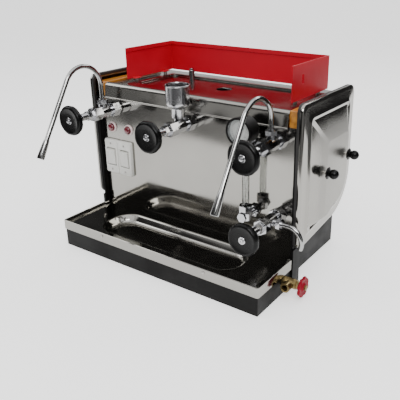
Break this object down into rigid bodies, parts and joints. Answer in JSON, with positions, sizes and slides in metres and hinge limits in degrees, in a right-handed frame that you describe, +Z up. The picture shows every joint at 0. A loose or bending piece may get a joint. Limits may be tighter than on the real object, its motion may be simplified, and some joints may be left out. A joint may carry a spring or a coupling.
{
  "type": "steam coffee machine",
  "caption": "Counter-top steam coffee machine: polished case on a black base, handwheel valves with swivel wands, filler cup, hot-water tap, gauges, switches, cup rail and drip tray.",
  "frame": {"origin": "middle of the base's underside", "axes": "+X to the right as seen from the front, +Y to the rear, +Z up"},
  "size_m": [0.5306, 0.384, 0.3645],
  "materials": {
    "polished_steel": "mirror-polished stainless sheet",
    "plain_steel": "brushed stainless",
    "chrome_fittings": "chromed brass",
    "black_paint": "black enamel",
    "varnished_wood": "amber varnish",
    "red_paint": "red enamel",
    "trim_rubber": "matt black",
    "black_plastic": "black phenolic",
    "brass": "dull brass",
    "copper_pipe": "copper tube",
    "dark_plastic": "moulded",
    "pale_plastic": "moulded",
    "white_plastic": "moulded",
    "lamp_pale": "moulded",
    "lamp_red": "translucent red",
    "dial_white": "matt white enamel",
    "needle_black": "black",
    "clear_glass": "clear"
  },
  "bodies": {
    "case": {"drip_tray": "polished_steel", "front_panel": "polished_steel", "top_plate": "polished_steel", "side_panel_left": "polished_steel", "side_panel_right": "polished_steel", "rear_panel": "plain_steel", "tray_screws": "plain_steel", "rear_screws": "plain_steel", "rail_spacers": "plain_steel", "boiler": "plain_steel", "valve_left": "chrome_fittings", "valve_filler": "chrome_fittings", "valve_right": "chrome_fittings", "valve_tap": "chrome_fittings", "funnel_cup": "chrome_fittings", "glass_fittings": "chrome_fittings", "safety_valve": "chrome_fittings", "base_pan": "black_paint", "frame_posts": "black_paint", "frame_rails": "black_paint", "boiler_cradle": "black_paint", "gauge_case": "black_paint", "side_battens": "varnished_wood", "cup_rail": "red_paint", "side_trim_left": "trim_rubber", "side_trim_right": "trim_rubber", "drain_valve": "brass", "vent_plug": "brass", "heater_front": "brass", "heater_rear": "brass", "steam_pipe_left": "copper_pipe", "steam_pipe_right": "copper_pipe", "tap_pipe": "copper_pipe", "drain_pipe": "copper_pipe", "pressure_switch": "dark_plastic", "cable_gland": "dark_plastic", "wiring": "dark_plastic", "terminal_block": "pale_plastic", "switch_plates": "white_plastic", "lamp_bezels": "lamp_pale", "lamp_lenses": "lamp_red", "gauge_dial": "dial_white", "level_glass": "clear_glass", "gauge_lens": "clear_glass"},
    "knob_left": {"knob_left": "black_plastic"},
    "knob_filler": {"knob_filler": "black_plastic"},
    "knob_right": {"knob_right": "black_plastic"},
    "knob_tap": {"knob_tap": "black_plastic"},
    "wand_left": {"wand_left": "chrome_fittings"},
    "wand_right": {"wand_right": "chrome_fittings"},
    "spout": {"spout": "chrome_fittings"},
    "rocker_left": {"rocker_left": "white_plastic"},
    "rocker_right": {"rocker_right": "white_plastic"},
    "gauge_needle": {"gauge_needle": "needle_black"},
    "drain_wheel": {"drain_wheel": "red_paint"},
    "panel_knob_left_mid": {"panel_knob_left_mid": "black_plastic"},
    "panel_knob_left_rear": {"panel_knob_left_rear": "black_plastic"},
    "panel_knob_right_mid": {"panel_knob_right_mid": "black_plastic"},
    "panel_knob_right_rear": {"panel_knob_right_rear": "black_plastic"}
  },
  "joints": [
    {"name": "left_steam_valve", "type": "hinge", "parent": "case", "child": "knob_left", "pos_m": [-0.1855, -0.135, 0.253], "axis": [0, -1, 0], "range_deg": [0, 450]},
    {"name": "filler_valve", "type": "hinge", "parent": "case", "child": "knob_filler", "pos_m": [0, -0.135, 0.253], "axis": [0, -1, 0], "range_deg": [0, 450]},
    {"name": "right_steam_valve", "type": "hinge", "parent": "case", "child": "knob_right", "pos_m": [0.1855, -0.135, 0.253], "axis": [0, -1, 0], "range_deg": [0, 450]},
    {"name": "tap_valve", "type": "hinge", "parent": "case", "child": "knob_tap", "pos_m": [0.1855, -0.135, 0.12], "axis": [0, -1, 0], "range_deg": [0, 450]},
    {"name": "left_wand_swing", "type": "hinge", "parent": "case", "child": "wand_left", "pos_m": [-0.1855, -0.061, 0.27], "axis": [0, 0, 1], "range_deg": [-90, 90]},
    {"name": "right_wand_swing", "type": "hinge", "parent": "case", "child": "wand_right", "pos_m": [0.1855, -0.061, 0.27], "axis": [0, 0, 1], "range_deg": [-90, 90]},
    {"name": "spout_swing", "type": "hinge", "parent": "case", "child": "spout", "pos_m": [0.205, -0.061, 0.12], "axis": [1, 0, 0], "range_deg": [-90, 10]},
    {"name": "left_switch", "type": "hinge", "parent": "case", "child": "rocker_left", "pos_m": [-0.1947, -0.036, 0.156], "axis": [1, 0, 0], "range_deg": [-12, 0]},
    {"name": "right_switch", "type": "hinge", "parent": "case", "child": "rocker_right", "pos_m": [-0.1595, -0.036, 0.156], "axis": [1, 0, 0], "range_deg": [-12, 0]},
    {"name": "gauge_reading", "type": "hinge", "parent": "case", "child": "gauge_needle", "pos_m": [0.14, -0.078, 0.271], "axis": [0, 1, 0], "range_deg": [0, 270], "stiffness_Nm_per_rad": 0.002},
    {"name": "drain_valve_turn", "type": "hinge", "parent": "case", "child": "drain_wheel", "pos_m": [0.252, -0.07, 0.024], "axis": [1, 0, 0], "range_deg": [0, 1080]},
    {"name": "left_mid_hand_screw", "type": "hinge", "parent": "case", "child": "panel_knob_left_mid", "pos_m": [-0.245, 0.026, 0.19], "axis": [-1, 0, 0], "range_deg": [0, 1440]},
    {"name": "left_rear_hand_screw", "type": "hinge", "parent": "case", "child": "panel_knob_left_rear", "pos_m": [-0.245, 0.11, 0.2], "axis": [-1, 0, 0], "range_deg": [0, 1440]},
    {"name": "right_mid_hand_screw", "type": "hinge", "parent": "case", "child": "panel_knob_right_mid", "pos_m": [0.245, 0.026, 0.19], "axis": [1, 0, 0], "range_deg": [0, 1440]},
    {"name": "right_rear_hand_screw", "type": "hinge", "parent": "case", "child": "panel_knob_right_rear", "pos_m": [0.245, 0.11, 0.2], "axis": [1, 0, 0], "range_deg": [0, 1440]}
  ]
}
